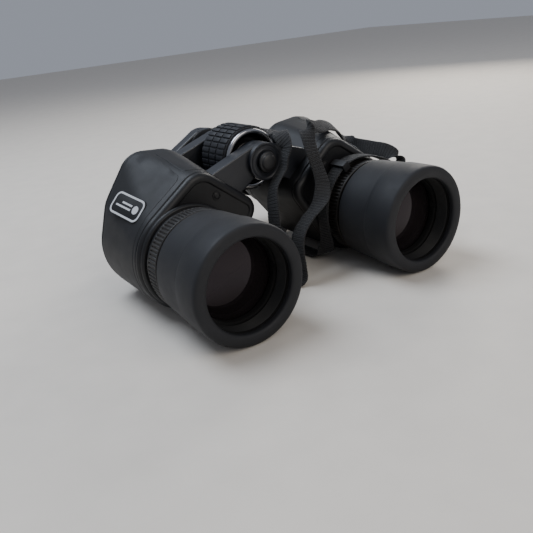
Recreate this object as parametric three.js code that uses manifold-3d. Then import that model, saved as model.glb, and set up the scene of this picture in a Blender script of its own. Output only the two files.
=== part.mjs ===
// Centre-focus Porro prism binoculars of the 10x50 class, lying belly down.
// Millimetres, +Z up. The objectives look along -Y and the eyepieces along +Y.
// Stations (s) are measured backwards from the objective rims; x is the distance from the
// hinge plane and z the height over the surface that the rims and housings rest on.
// The right half, which holds the dioptre, lies on the -X side, as its user would say.
import * as THREE from 'three';
import { mergeVertices } from 'three/addons/utils/BufferGeometryUtils.js';
import Module from 'manifold-3d';

const wasm = await Module();
wasm.setup();
const { Manifold, Mesh } = wasm;

// Driving dimensions
const LENGTH = 178;
const GAP = 0.3;
const OBJECTIVE = { x: 61.9, z: 32 };
const EYEPIECE = { x: 35, z: 48.5 };
const HINGE = { x: 0, z: 72 };
const RIM_RADIUS = 32;
const APERTURE_RADIUS = 24.5;
const HALVES = { right: -1, left: 1 };

// Facets round a turned piece, a small turned piece and a housing outline
const ROUND = 24;
const SMALL_ROUND = 14;
const OUTLINE = 32;

// Prism housing: stations, wall, and the circles whose outer hull is its section
const HOUSING = { front: 62, seam: 66, rear: 112, cover: 115, back: 121, wall: 2.2 };
const SEAM_CIRCLES = [
  { x: OBJECTIVE.x, z: OBJECTIVE.z, r: RIM_RADIUS },
  { x: 49, z: 62.8, r: 14 },
  { x: 24, z: 49, r: 9 },
];
const REAR_CIRCLES = [
  { x: OBJECTIVE.x, z: OBJECTIVE.z, r: RIM_RADIUS },
  { x: 63.5, z: 48, r: 25.5 },
  { x: 59, z: 69, r: 16.5 },
  { x: 47, z: 69, r: 15.3 },
  { x: 33, z: 49, r: 19 },
];
const SKIN = { front: 69.5, rear: 112.5, ridge: 56, foot: 4, depth: 1, thickness: 0.7 };
const BADGE = {
  s: 89, x: 82.9, z: 61.6, tilt: 46, pitch: 10.6, length: 29.6, width: 14.4, corner: 4.5, thick: 1.6,
};

// Hinge lugs: each half has a front and a rear lug, one ahead of the other on the hinge axis
const FRONT_LUG = {
  face: 69, front: 72, split: 76.65, rear: 82.8, boss: 11.4, arm: { x: 38, z: 58.5, r: 12 },
};
const REAR_LUG = {
  face: 119, front: 119, split: 124.55, rear: 130, boss: 13.9, arm: { x: 38, z: 61, r: 13 },
};
const BRIDGE = { face: 138, front: 139, split: 143.85, rear: 148, hubRear: 150, hub: 14, ring: 18 };
const AXLE_RADIUS = 4.5;
const SPINDLE_RADIUS = 2.9;
const CAP_SEAT_RADIUS = 7;
const RUNNING = 0.4;

// Porro prisms: two right-angle prisms crossed at ninety degrees, one shift each
const PRISM = { width: 20, frontFace: 89.5, rearFace: 91.8 };

// Focus wheel
const WHEEL = { front: 86, rear: 113, core: 17, tread: 20, trimFront: 83.4, trimRadius: 18.2 };

// Eyepiece stations
const GUIDE = { front: 115.6, rear: 131, inner: 14.7, outer: 17, boss: 19.4, bossRear: 123.5 };
const TUBE_RADIUS = 14.3;
const EYE_REAR = 171.8;

// Neck strap: webbing width and thickness, and the gap where its two runs meet behind the hinge
const STRAP = { width: 10, thick: 1.6, slider: { x: 46, s: 55.6, z: 61.2, lean: 29 } };

const materials = {
  housing: new THREE.MeshStandardMaterial({ color: 0x1b1d22, roughness: 0.5, metalness: 0 }),
  cover: new THREE.MeshStandardMaterial({ color: 0x14151a, roughness: 0.45, metalness: 0 }),
  rubber: new THREE.MeshStandardMaterial({ color: 0x23262c, roughness: 0.8, metalness: 0 }),
  ribbed: new THREE.MeshStandardMaterial({ color: 0x1d1c1c, roughness: 0.7, metalness: 0 }),
  inner: new THREE.MeshStandardMaterial({ color: 0x0b0b0d, roughness: 0.6, metalness: 0 }),
  glass: new THREE.MeshStandardMaterial({ color: 0x5a4750, roughness: 0.05, metalness: 0 }),
  chrome: new THREE.MeshStandardMaterial({ color: 0xb9bcc2, roughness: 0.2, metalness: 1 }),
  steel: new THREE.MeshStandardMaterial({ color: 0x8a8c90, roughness: 0.35, metalness: 1 }),
  brass: new THREE.MeshStandardMaterial({ color: 0xb08d4a, roughness: 0.35, metalness: 1 }),
  badge: new THREE.MeshStandardMaterial({ color: 0xd8d8d8, roughness: 0.5, metalness: 0 }),
  strap: new THREE.MeshStandardMaterial({ color: 0x15161a, roughness: 0.9, metalness: 0 }),
};

const binoculars = new THREE.Group();
binoculars.position.y = -LENGTH / 2;

function addNode(name, geometry, material, x = 0, z = 0) {
  const mesh = new THREE.Mesh(geometry, material);
  mesh.name = name;
  mesh.position.set(x, 0, z);
  binoculars.add(mesh);
}

// A closed geometry as a solid: shared vertices merged and empty triangles dropped
function solidOf(geometry) {
  const bare = geometry.clone();
  bare.deleteAttribute('normal');
  bare.deleteAttribute('uv');
  const merged = mergeVertices(bare, 1e-4);
  const corners = merged.index.array;
  const kept = [];
  for (let i = 0; i < corners.length; i += 3) {
    const [a, b, c] = [corners[i], corners[i + 1], corners[i + 2]];
    if (a !== b && b !== c && c !== a) kept.push(a, b, c);
  }
  const vertProperties = new Float32Array(merged.attributes.position.array);
  return new Manifold(new Mesh({ numProp: 3, vertProperties, triVerts: new Uint32Array(kept) }));
}

function geometryOf(solid) {
  const mesh = solid.getMesh();
  const geometry = new THREE.BufferGeometry();
  geometry.setAttribute('position', new THREE.BufferAttribute(new Float32Array(mesh.vertProperties), 3));
  geometry.setIndex(new THREE.BufferAttribute(new Uint32Array(mesh.triVerts), 1));
  geometry.computeVertexNormals();
  return geometry;
}

// A turned piece about the Y axis from [radius, station] pairs, outer side first
function turned(profile, sides = ROUND) {
  const points = profile.map(([radius, station]) => new THREE.Vector2(radius, station));
  if (profile[0][0] > 0) points.push(points[0].clone());
  return new THREE.LatheGeometry(points, sides);
}

function tube(inner, outer, front, rear, sides = ROUND) {
  return turned([[inner, front], [outer, front], [outer, rear], [inner, rear]], sides);
}

// The outer hull of some circles, as points at even angles, drawn in by a shrink
function outlineOf(circles, shrink = 0, count = OUTLINE) {
  const points = [];
  for (let i = 0; i < count; i += 1) {
    const angle = ((i + 0.5) / count) * Math.PI * 2;
    const [cos, sin] = [Math.cos(angle), Math.sin(angle)];
    const reach = ({ x, z, r }) => x * cos + z * sin + r;
    const far = circles.reduce((best, circle) => (reach(circle) > reach(best) ? circle : best));
    points.push([far.x + (far.r - shrink) * cos, far.z + (far.r - shrink) * sin]);
  }
  return points;
}

// A closed solid through convex outlines that all have the same number of points
function loft(stations) {
  const count = stations[0].points.length;
  const positions = stations.flatMap(({ s, points }) => points.flatMap(([x, z]) => [x, s, z]));
  const index = [];
  for (let level = 0; level + 1 < stations.length; level += 1) {
    const [near, far] = [level * count, (level + 1) * count];
    for (let i = 0; i < count; i += 1) {
      const next = (i + 1) % count;
      index.push(near + i, far + i, far + next, near + i, far + next, near + next);
    }
  }
  const last = (stations.length - 1) * count;
  for (let i = 1; i + 1 < count; i += 1) {
    index.push(0, i, i + 1, last, last + i + 1, last + i);
  }
  const geometry = new THREE.BufferGeometry();
  geometry.setAttribute('position', new THREE.Float32BufferAttribute(positions, 3));
  geometry.setIndex(index);
  return geometry;
}

function slab(circles, front, rear, count = OUTLINE) {
  const points = outlineOf(circles, 0, count);
  return solidOf(loft([{ s: front, points }, { s: rear, points }]));
}

function rod(centre, radius, front, rear, sides = SMALL_ROUND) {
  return slab([{ x: centre.x, z: centre.z, r: radius }], front, rear, sides);
}

function block(width, depth, height, x, s, z) {
  return solidOf(new THREE.BoxGeometry(width, depth, height)).translate([x, s, z]);
}

const mirrored = (circles, side) => circles.map(({ x, z, r }) => ({ x: side * x, z, r }));
const onSide = (place, side) => ({ x: side * place.x, z: place.z });

// The housing's section at a station between the seam and its rear
function housingPoints(side, station, shrink) {
  const front = outlineOf(mirrored(SEAM_CIRCLES, side), shrink);
  const rear = outlineOf(mirrored(REAR_CIRCLES, side), shrink);
  const share = Math.min(1, (station - HOUSING.seam) / (HOUSING.rear - HOUSING.seam));
  return front.map(([x, z], i) => [x + (rear[i][0] - x) * share, z + (rear[i][1] - z) * share]);
}

function housingLoft(side, front, rear, shrink, edge = 0) {
  const level = (s, drawn) => ({ s, points: housingPoints(side, s, shrink + drawn) });
  const middle = (front + rear) / 2;
  return solidOf(loft([level(front, edge), level(front + 1, 0), level(middle, 0), level(rear, 0)]));
}

// A hinge lug: an arm from the housing to a boss, leaving room for the other half's boss
function hingeLug(side, lug, low) {
  const isRight = side === HALVES.right;
  const [bossFront, bossRear] = isRight ? [lug.face, lug.split - GAP / 2] : [lug.split + GAP / 2, lug.rear];
  const [roomFront, roomRear] = isRight ? [bossRear, lug.rear + 1] : [lug.face - 1, bossFront];
  const root = { x: side * 2.5, z: HINGE.z + low, r: lug.boss - low - 0.5 };
  const arm = slab([root, { x: side * lug.arm.x, z: lug.arm.z, r: lug.arm.r }], lug.front, lug.rear);
  const room = rod(HINGE, lug.boss + RUNNING, roomFront, roomRear, ROUND);
  return arm.subtract(room).add(rod(HINGE, lug.boss, bossFront, bossRear, ROUND));
}

function hingeBore(lug) {
  return rod(HINGE, AXLE_RADIUS + GAP, lug.face - 2, lug.rear + 2);
}

// The badge is a shallow plate on the outer shoulder of the housing
function badgeSolid(side, grow) {
  const [width, length] = [BADGE.width + 2 * grow, BADGE.length + 2 * grow];
  const corner = BADGE.corner;
  const shape = new THREE.Shape();
  shape.moveTo(-width / 2 + corner, -length / 2);
  shape.absarc(width / 2 - corner, -length / 2 + corner, corner, -Math.PI / 2, 0);
  shape.absarc(width / 2 - corner, length / 2 - corner, corner, 0, Math.PI / 2);
  shape.absarc(-width / 2 + corner, length / 2 - corner, corner, Math.PI / 2, Math.PI);
  shape.absarc(-width / 2 + corner, -length / 2 + corner, corner, Math.PI, Math.PI * 1.5);
  const depth = BADGE.thick + 2 * grow;
  const plate = new THREE.ExtrudeGeometry(shape, { depth, bevelEnabled: false, curveSegments: 3 });
  plate.translate(0, 0, -depth / 2);
  plate.rotateX(THREE.MathUtils.degToRad(BADGE.pitch));
  plate.rotateY(THREE.MathUtils.degToRad(side * BADGE.tilt));
  plate.translate(side * BADGE.x, BADGE.s, BADGE.z);
  return solidOf(plate);
}

function prismBody(side) {
  const zoneWidth = 60;
  const zoneX = side * (SKIN.ridge + zoneWidth / 2);
  const zoneHeight = 100;
  const zoneZ = SKIN.foot + zoneHeight / 2;
  const zoneS = (SKIN.rear + SKIN.front) / 2;
  const zone = block(zoneWidth, SKIN.rear - SKIN.front, zoneHeight, zoneX, zoneS, zoneZ);
  const [front, rear] = [HOUSING.seam + GAP, HOUSING.cover];
  const outer = housingLoft(side, front, rear, 0, 0.5);
  const recessed = housingLoft(side, front, rear, SKIN.depth);
  const hollow = housingLoft(side, front - 1, rear + 1, HOUSING.wall + SKIN.depth);
  const cased = outer.subtract(zone).add(recessed);
  const joined = cased.add(hingeLug(side, FRONT_LUG, 3)).subtract(hollow);
  const capSeat = rod(HINGE, CAP_SEAT_RADIUS, FRONT_LUG.face - 1, FRONT_LUG.face + 0.5, ROUND);
  return joined.subtract(hingeBore(FRONT_LUG)).subtract(capSeat).subtract(badgeSolid(side, GAP));
}

function sideSkin(side) {
  const [width, height] = [60, 100];
  const length = SKIN.rear - SKIN.front - 2 * GAP;
  const [x, z] = [side * (SKIN.ridge + GAP + width / 2), SKIN.foot + GAP + height / 2];
  const zone = block(width, length, height, x, (SKIN.rear + SKIN.front) / 2, z);
  const outer = housingLoft(side, HOUSING.seam + GAP, HOUSING.cover, 0);
  const backing = housingLoft(side, HOUSING.seam - 1, HOUSING.cover + 1, SKIN.thickness);
  return outer.subtract(backing).intersect(zone).subtract(badgeSolid(side, GAP));
}

function frontCover(side) {
  const points = (shrink) => outlineOf(mirrored(SEAM_CIRCLES, side), shrink);
  const face = HOUSING.front;
  const rolled = [[face, 3], [face + 1, 1.4], [face + 2.4, 0.3], [HOUSING.seam, 0]];
  const plate = solidOf(loft(rolled.map(([s, shrink]) => ({ s, points: points(shrink) }))));
  const bore = rod(onSide(OBJECTIVE, side), 25.9, HOUSING.front - 1, HOUSING.seam + 1, ROUND);
  const screwPit = rod({ x: side * 40, z: 62 }, 2.2, HOUSING.front - 1, HOUSING.front + 1.6, 12);
  return plate.subtract(bore).subtract(screwPit);
}

function rearCover(side) {
  const points = (shrink) => outlineOf(mirrored(REAR_CIRCLES, side), shrink);
  const front = HOUSING.cover + GAP;
  const rounded = [[front, 0.2], [front + 1.8, 0.5], [front + 3.6, 1.8], [front + 4.9, 4], [HOUSING.back, 6]];
  const plate = solidOf(loft(rounded.map(([s, shrink]) => ({ s, points: points(shrink) }))));
  const boss = rod(onSide(EYEPIECE, side), GUIDE.boss, front + 0.6, GUIDE.bossRear, ROUND);
  const bore = rod(onSide(EYEPIECE, side), GUIDE.outer + GAP, front - 1, REAR_LUG.rear + 1, ROUND);
  const solid = plate.add(boss).add(hingeLug(side, REAR_LUG, 3.5));
  return solid.subtract(bore).subtract(hingeBore(REAR_LUG));
}

const SLEEVE_PROFILE = [
  [24.8, 3.9], [24.8, 1.6], [26.2, 0.3], [28.5, 0], [30.9, 0.4], [31.8, 1.6], [RIM_RADIUS, 3.5],
  [31.9, 19.6], [31.35, 20.6], [30.3, 43], [29.6, 44], [26.6, 44], [26.6, 3.9],
];
const BARREL_PROFILE = [
  [APERTURE_RADIUS, 4.3], [26.3, 4.3], [26.3, 56.6], [28.2, 57], [28.2, 61.6], [25.6, 61.7],
  [25.6, 66], [23.4, 66], [23.4, 26], [APERTURE_RADIUS, 25],
];
const OBJECTIVE_LENS_PROFILE = [[0, 16.4], [10, 16.8], [18, 17.7], [24.2, 19], [24.2, 22.5], [0, 24.6]];

function addObjective(name, side) {
  const { x, z } = onSide(OBJECTIVE, side);
  addNode(`${name}_objective_barrel`, turned(BARREL_PROFILE), materials.inner, x, z);
  addNode(`${name}_rubber_sleeve`, turned(SLEEVE_PROFILE), materials.rubber, x, z);
  addNode(`${name}_knurled_ring`, tube(26.6, 29.6, 46, 56), materials.ribbed, x, z);
  addNode(`${name}_objective_lens`, turned(OBJECTIVE_LENS_PROFILE), materials.glass, x, z);
  addNode(`${name}_lens_retainer`, tube(22.6, 24.2, 14, 17.6), materials.inner, x, z);
}

// Where the folded beam runs: objective axis, middle axis between the prisms, eyepiece axis
function beamAxes(side) {
  const start = new THREE.Vector2(side * OBJECTIVE.x, OBJECTIVE.z);
  const end = new THREE.Vector2(side * EYEPIECE.x, EYEPIECE.z);
  const half = end.clone().sub(start).multiplyScalar(0.5);
  const across = new THREE.Vector2(-half.y, half.x).multiplyScalar(-side);
  return { start, middle: start.clone().add(half).add(across), end };
}

// A right-angle prism whose long face spans two beams and whose edge points along Y
function prismSolid(from, to, face, edgeWay) {
  const shift = to.clone().sub(from).length();
  const shape = new THREE.Shape();
  shape.moveTo(-shift, 0);
  shape.lineTo(shift, 0);
  shape.lineTo(1.5, shift - 1.5);
  shape.lineTo(-1.5, shift - 1.5);
  const prism = new THREE.ExtrudeGeometry(shape, { depth: PRISM.width, bevelEnabled: false });
  prism.translate(0, 0, -PRISM.width / 2);
  if (edgeWay < 0) prism.rotateZ(Math.PI);
  prism.rotateY(-Math.atan2(to.y - from.y, to.x - from.x));
  prism.translate((from.x + to.x) / 2, face, (from.y + to.y) / 2);
  return prism;
}

function prismShelf(side) {
  const points = housingPoints(side, PRISM.frontFace, HOUSING.wall + SKIN.depth + GAP);
  const [front, rear] = [PRISM.frontFace + GAP, PRISM.rearFace - GAP];
  const holes = Object.values(beamAxes(side));
  const plate = solidOf(loft([{ s: front, points }, { s: rear, points }]));
  return holes.reduce((left, { x, y }) => left.subtract(rod({ x, z: y }, 9.4, front - 1, rear + 1)), plate);
}

function strapLug(side) {
  const [x, z] = [side * 74, 24];
  const bar = block(17, 6.8, 3.2, x, HOUSING.back + GAP + 3.4, z);
  return bar.subtract(block(11.4, 5, 4, x, HOUSING.back + 2.2, z));
}

function addHalf(name, side) {
  addNode(`${name}_prism_body`, geometryOf(prismBody(side)), materials.housing);
  addNode(`${name}_side_skin`, geometryOf(sideSkin(side)), materials.housing);
  addNode(`${name}_front_cover`, geometryOf(frontCover(side)), materials.cover);
  addNode(`${name}_rear_cover`, geometryOf(rearCover(side)), materials.cover);
  addNode(`${name}_badge`, geometryOf(badgeSolid(side, 0)), materials.badge);
  addObjective(name, side);
  const { start, middle, end } = beamAxes(side);
  addNode(`${name}_rear_prism`, prismSolid(start, middle, PRISM.rearFace, 1), materials.glass);
  addNode(`${name}_front_prism`, prismSolid(middle, end, PRISM.frontFace, -1), materials.glass);
  addNode(`${name}_prism_shelf`, geometryOf(prismShelf(side)), materials.inner);
  const { x, z } = onSide(EYEPIECE, side);
  const guide = tube(GUIDE.inner, GUIDE.outer, GUIDE.front, GUIDE.rear);
  addNode(`${name}_eyepiece_guide`, guide, materials.cover, x, z);
  addNode(`${name}_strap_lug`, geometryOf(strapLug(side)), materials.cover);
}

// Bridge arm: a hub ring on the focus spindle and a ring round the eyepiece tube
function bridgeArm(side) {
  const isRight = side === HALVES.right;
  const [hubFront, hubRear] = isRight
    ? [BRIDGE.face, BRIDGE.split - GAP / 2]
    : [BRIDGE.split + GAP / 2, BRIDGE.hubRear];
  const [roomFront, roomRear] = isRight ? [hubRear, BRIDGE.hubRear + 1] : [BRIDGE.face - 1, hubFront];
  const circles = [{ x: side * 4, z: 77.5, r: 8 }, { x: side * EYEPIECE.x, z: EYEPIECE.z, r: BRIDGE.ring }];
  const arm = slab(circles, BRIDGE.front, BRIDGE.rear);
  const room = rod(HINGE, BRIDGE.hub + RUNNING, roomFront, roomRear, ROUND);
  const ringed = arm.subtract(room).add(rod(HINGE, BRIDGE.hub, hubFront, hubRear, ROUND));
  const tubeBore = rod(onSide(EYEPIECE, side), TUBE_RADIUS + GAP, BRIDGE.front - 1, BRIDGE.rear + 1, ROUND);
  const spindleBore = rod(HINGE, SPINDLE_RADIUS + GAP, BRIDGE.face - 1, BRIDGE.hubRear + 1);
  return ringed.subtract(tubeBore).subtract(spindleBore);
}

const EYEPIECE_TUBE_PROFILE = [
  [12.6, 118], [TUBE_RADIUS, 118], [TUBE_RADIUS, 148.3], [17.4, 148.3], [17.4, 150.2], [12.6, 150.2],
];
const LEFT_OCULAR_PROFILE = [
  [12, 150.5], [18.2, 150.5], [18.6, 154], [18.2, 157.6], [16.5, 158.4], [16.5, 171], [15.7, EYE_REAR],
  [11.3, EYE_REAR], [11.3, 165], [12, 164],
];
const RIGHT_OCULAR_PROFILE = [
  [12, 151.8], [15.4, 151.8], [15.4, 158.9], [16.5, 158.9], [16.5, 171], [15.7, EYE_REAR],
  [11.3, EYE_REAR], [11.3, 165], [12, 164],
];
const DIOPTRE_RING_PROFILE = [
  [15.8, 152.2], [18.6, 152.2], [19, 153], [19, 157.7], [18.4, 158.5], [15.8, 158.5],
];
const EYE_LENS_PROFILE = [[0, 165.6], [11, 166.4], [11, 169], [0, 170.6]];
const EYECUP_PROFILE = [[16.9, 166], [19.2, 166], [20, 176.6], [19.3, LENGTH], [17.6, LENGTH], [16.9, 177.2]];

function addOcular(name, side) {
  const { x, z } = onSide(EYEPIECE, side);
  const ocular = side === HALVES.right ? RIGHT_OCULAR_PROFILE : LEFT_OCULAR_PROFILE;
  addNode(`${name}_bridge_arm`, geometryOf(bridgeArm(side)), materials.cover);
  addNode(`${name}_eyepiece_tube`, turned(EYEPIECE_TUBE_PROFILE), materials.cover, x, z);
  addNode(`${name}_ocular_body`, turned(ocular), materials.cover, x, z);
  addNode(`${name}_eye_lens`, turned(EYE_LENS_PROFILE, SMALL_ROUND), materials.glass, x, z);
  addNode(`${name}_eyecup`, turned(EYECUP_PROFILE), materials.rubber, x, z);
}

// The hollow hinge axle, the focus spindle that slides in it, and the wheel that drives it
const AXLE_BORE = SPINDLE_RADIUS + RUNNING;
const AXLE_PROFILE = [
  [AXLE_BORE, 77.3], [AXLE_RADIUS, 77.3], [AXLE_RADIUS, 130.3], [8, 130.3], [8, 131.6], [AXLE_BORE, 131.6],
];
const SPINDLE_PROFILE = [
  [0, 110], [SPINDLE_RADIUS, 110], [SPINDLE_RADIUS, 150.3], [6.5, 150.3], [6.5, 152], [5.6, 153], [0, 153],
];
const WHEEL_BORE = AXLE_RADIUS + RUNNING;
const WHEEL_CORE_PROFILE = [
  [WHEEL_BORE, 89], [13.5, 89], [15, WHEEL.front], [WHEEL.core, WHEEL.front], [WHEEL.core, WHEEL.rear],
  [8.5, WHEEL.rear], [8, 118.4], [WHEEL_BORE, 118.4],
];
const TREAD_PROFILE = [
  [WHEEL.core + GAP, WHEEL.front + 0.2], [WHEEL.tread - 0.8, WHEEL.front + 0.2],
  [WHEEL.tread, WHEEL.front + 1],
  [WHEEL.tread, WHEEL.rear - 1], [WHEEL.tread - 0.8, WHEEL.rear - 0.2], [WHEEL.core + GAP, WHEEL.rear - 0.2],
];
const TRIM_PROFILE = [
  [15.2, WHEEL.trimFront + 0.6], [16.2, WHEEL.trimFront], [WHEEL.trimRadius - 0.6, WHEEL.trimFront],
  [WHEEL.trimRadius, WHEEL.trimFront + 0.6], [WHEEL.trimRadius, WHEEL.front - GAP], [15.2, WHEEL.front - GAP],
];
const SOCKET_PROFILE = [[3.1, 69.3], [AXLE_RADIUS, 69.3], [AXLE_RADIUS, 77], [3.1, 77]];
const STUD_PROFILE = [[0, 68.4], [2.8, 68.4], [2.8, 75.6], [2.2, 76], [0, 76]];
const CAP_PROFILE = [
  [0, 64.6], [2.8, 64.8], [4.8, 65.6], [5.6, 66.6], [6.2, 66.9], [6.2, 68.1], [0, 68.1],
];

function addHinge() {
  const { x, z } = HINGE;
  addNode('hinge_axle', turned(AXLE_PROFILE, SMALL_ROUND), materials.steel, x, z);
  addNode('focus_spindle', turned(SPINDLE_PROFILE, SMALL_ROUND), materials.steel, x, z);
  addNode('focus_wheel_core', turned(WHEEL_CORE_PROFILE), materials.cover, x, z);
  addNode('focus_wheel_tread', turned(TREAD_PROFILE), materials.rubber, x, z);
  addNode('focus_wheel_trim', turned(TRIM_PROFILE), materials.chrome, x, z);
  addNode('tripod_socket', turned(SOCKET_PROFILE, SMALL_ROUND), materials.brass, x, z);
  addNode('tripod_cap_stud', turned(STUD_PROFILE, SMALL_ROUND), materials.cover, x, z);
  addNode('tripod_cap', turned(CAP_PROFILE, SMALL_ROUND), materials.cover, x, z);
}

// The neck strap's centreline, as [x, s, z] and then the way its width points. The left run
// goes from the hub over the left front lug, down to the surface between the barrels, up over
// the left housing, back round the left barrel and under the housing to the left strap lug.
const LEFT_RUN = [
  [14.2, 160, 78, 0.87, 0, -0.47], [14.5, 157.3, 78.4, 0.87, 0, -0.47],
  [18, 151.5, 81, 0.87, 0.2, -0.45], [22.5, 145, 82, 0.88, 0.2, -0.45], [25, 136, 82, 0.9, 0.1, -0.4],
  [26.5, 124, 83, 0.95, 0, -0.3], [26.5, 106, 82.5, 1, 0, -0.1], [24, 90, 82.5, 1, -0.2, 0],
  [18.4, 78, 85.4, 0.9, -0.5, 0.1], [13, 69.5, 85.3, 0.5, -0.85, 0.2], [11.4, 62.7, 79.8, 0, -1, 0],
  [9.6, 62.9, 73.6, -0.2, -0.97, 0], [7.7, 63, 67.7, -0.15, -0.98, 0], [2.7, 62.3, 63, -0.2, -0.98, 0],
  [-3, 60.5, 57, -0.1, -0.98, 0.1], [-7, 56.5, 47, 0.1, -0.98, 0], [-8.5, 54, 34, 0.2, -0.98, 0],
  [-8.5, 49.5, 18, 0.2, -0.98, 0], [-7.8, 45.5, 6, 0.2, -0.98, 0], [-4.8, 43.2, 2, 0.2, -0.98, 0],
  [-1.9, 42, 4.5, 0.2, -0.98, 0], [-1.6, 42, 12, 0.2, -0.98, 0], [-1.8, 42.5, 22, 0.2, -0.98, 0],
  [0, 43, 31, 0.2, -0.95, 0.1], [7.5, 43.7, 38.8, 0.3, -0.9, 0.2], [15.5, 44.5, 43.5, 0.5, -0.8, 0.2],
  [22.5, 47, 48, 0.8, -0.5, 0.1], [27, 51, 55, 0.97, -0.1, 0], [27.8, 55, 63.5, 0.98, 0.1, 0],
  [27, 58.5, 73.5, 0.98, 0.1, 0], [28, 62.5, 81, 0.95, 0.1, 0.1], [30.6, 66.5, 85.2, 0.85, 0.1, 0.4],
  [34.3, 69, 86.4, 0.5, 0.45, 0.7], [39, 71, 85.8, 0.15, 0.65, 0.7], [46, 74, 84, 0, 0.72, 0.68],
  [54.5, 79, 83, -0.1, 0.72, 0.62], [64.8, 84.5, 80, -0.15, 0.75, 0.6], [72.8, 90, 76.5, -0.15, 0.75, 0.6],
  [80.4, 96, 72, -0.1, 0.75, 0.6], [86.6, 100.5, 67.4, 0, 0.75, 0.6], [91.2, 101.3, 64.4, 0.05, 0.75, 0.6],
  [93.6, 97, 62, 0, 0.6, 0.75], [93.6, 91, 60.8, 0.05, 0.55, 0.75], [94, 84, 60.4, 0.2, 0.5, 0.8],
  [95.2, 76, 59.8, 0.3, 0.4, 0.85], [97, 68, 59, 0.35, 0.3, 0.87], [99.4, 61.5, 56.2, 0.25, 0.7, 0.65],
  [100, 57.5, 52, 0, 1, 0.1], [97.2, 56, 49.8, 0, 1, 0], [91.5, 55.8, 52, 0, 1, 0],
  [84, 55.8, 57, 0, 1, 0], [75, 55.8, 61, 0, 1, 0], [65, 55.8, 63.6, 0, 1, 0],
  [55, 55.7, 64, 0, 1, 0], [46, 55.6, 61.2, 0, 1, 0], [38, 55.6, 54.5, 0, 1, 0],
  [31.8, 55.6, 45, 0, 1, 0], [29.5, 55.6, 34, 0, 1, 0], [30, 55.5, 24, 0, 1, 0],
  [32, 57, 13, -0.3, 0.9, 0], [33.5, 63, 4.5, -0.8, 0.4, -0.2], [34, 74, 1.6, -1, 0, 0],
  [34, 92, 1.5, -1, 0, 0], [35, 110, 1.5, -1, 0, 0], [42, 125, 1.8, -0.9, 0.4, 0],
  [54, 132, 4, -0.7, 0.7, 0], [66, 129.5, 9, -0.8, 0.5, 0.3], [73, 125.2, 15, -1, 0.2, 0],
  [74, 123.5, 21, -1, 0, 0], [74, 123.5, 28.5, -1, 0, 0],
];
// The right run drops behind the hub and follows the surface to the right strap lug
const RIGHT_RUN = [
  [14.2, 160 + GAP, 78, 0.87, 0, -0.47], [13.9, 163, 77.6, 0.87, 0, -0.47],
  [10.5, 167, 74, 0.75, 0.3, -0.6], [3.5, 168.8, 67.5, 0.7, 0, -0.7], [-3, 167.3, 59, 0.85, 0, -0.5],
  [-7, 163, 47, 0.95, 0, -0.3], [-8.7, 157, 33, 1, 0, 0], [-9.5, 153.5, 22, 1, 0.1, 0],
  [-12, 150, 13, 1, 0.3, 0], [-20, 143.5, 4.5, 0.7, 0.7, 0],
  [-31, 139.5, 1.7, 0.3, 0.95, 0], [-45, 138, 1.6, 0, 1, 0], [-58, 135.5, 3, -0.2, 1, 0],
  [-68, 130, 8, -0.7, 0.7, 0], [-73.2, 125.2, 14.5, -1, 0.2, 0], [-74, 123.5, 21, -1, 0, 0],
  [-74, 123.5, 28.5, -1, 0, 0],
];
const STRAP_STEP = 12;

// A centreline whose section is turned so that its width points the stated way
class WebbingLine extends THREE.CatmullRomCurve3 {
  constructor(route) {
    super(route.map(([x, s, z]) => new THREE.Vector3(x, s, z)), false, 'centripetal');
    this.widthWays = route.map(([, , , x, s, z]) => new THREE.Vector3(x, s, z));
  }

  computeFrenetFrames(segments) {
    const frames = { tangents: [], normals: [], binormals: [] };
    for (let i = 0; i <= segments; i += 1) {
      const along = this.getUtoTmapping(i / segments) * (this.widthWays.length - 1);
      const from = Math.min(Math.floor(along), this.widthWays.length - 2);
      const tangent = this.getTangentAt(i / segments);
      const across = this.widthWays[from].clone().lerp(this.widthWays[from + 1], along - from);
      across.addScaledVector(tangent, -across.dot(tangent)).normalize();
      frames.tangents.push(tangent);
      frames.normals.push(across);
      frames.binormals.push(tangent.clone().cross(across));
    }
    return frames;
  }
}

function webbing(route) {
  const line = new WebbingLine(route);
  const [half, thin, corner] = [STRAP.width / 2, STRAP.thick / 2, 0.4];
  const section = new THREE.Shape();
  section.moveTo(-half + corner, -thin);
  section.lineTo(half - corner, -thin);
  section.lineTo(half, -thin + corner);
  section.lineTo(half, thin - corner);
  section.lineTo(half - corner, thin);
  section.lineTo(-half + corner, thin);
  section.lineTo(-half, thin - corner);
  section.lineTo(-half, -thin + corner);
  section.closePath();
  const steps = Math.round(line.getLength() / STRAP_STEP);
  return new THREE.ExtrudeGeometry(section, { steps, extrudePath: line, bevelEnabled: false });
}

// The slider is a flat loop of plastic that the webbing threads through
function strapSlider() {
  const [outer, inner, length] = [{ w: 12.4, h: 5.2 }, { w: 10.7, h: 3.6 }, 5];
  const slot = block(length + 2, inner.w, inner.h, 0, 0, 0);
  const loop = block(length, outer.w, outer.h, 0, 0, 0).subtract(slot);
  const { x, s, z, lean } = STRAP.slider;
  return loop.rotate([0, -lean, 0]).translate([x, s, z]);
}

function addStrap() {
  addNode('strap_left_run', webbing(LEFT_RUN), materials.strap);
  addNode('strap_right_run', webbing(RIGHT_RUN), materials.strap);
  addNode('strap_slider', geometryOf(strapSlider()), materials.cover);
}

Object.entries(HALVES).forEach(([name, side]) => {
  addHalf(name, side);
  addOcular(name, side);
});
const RIGHT_EYE = onSide(EYEPIECE, HALVES.right);
addNode('dioptre_ring', turned(DIOPTRE_RING_PROFILE), materials.rubber, RIGHT_EYE.x, RIGHT_EYE.z);
addHinge();
addStrap();

export default binoculars;
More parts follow.
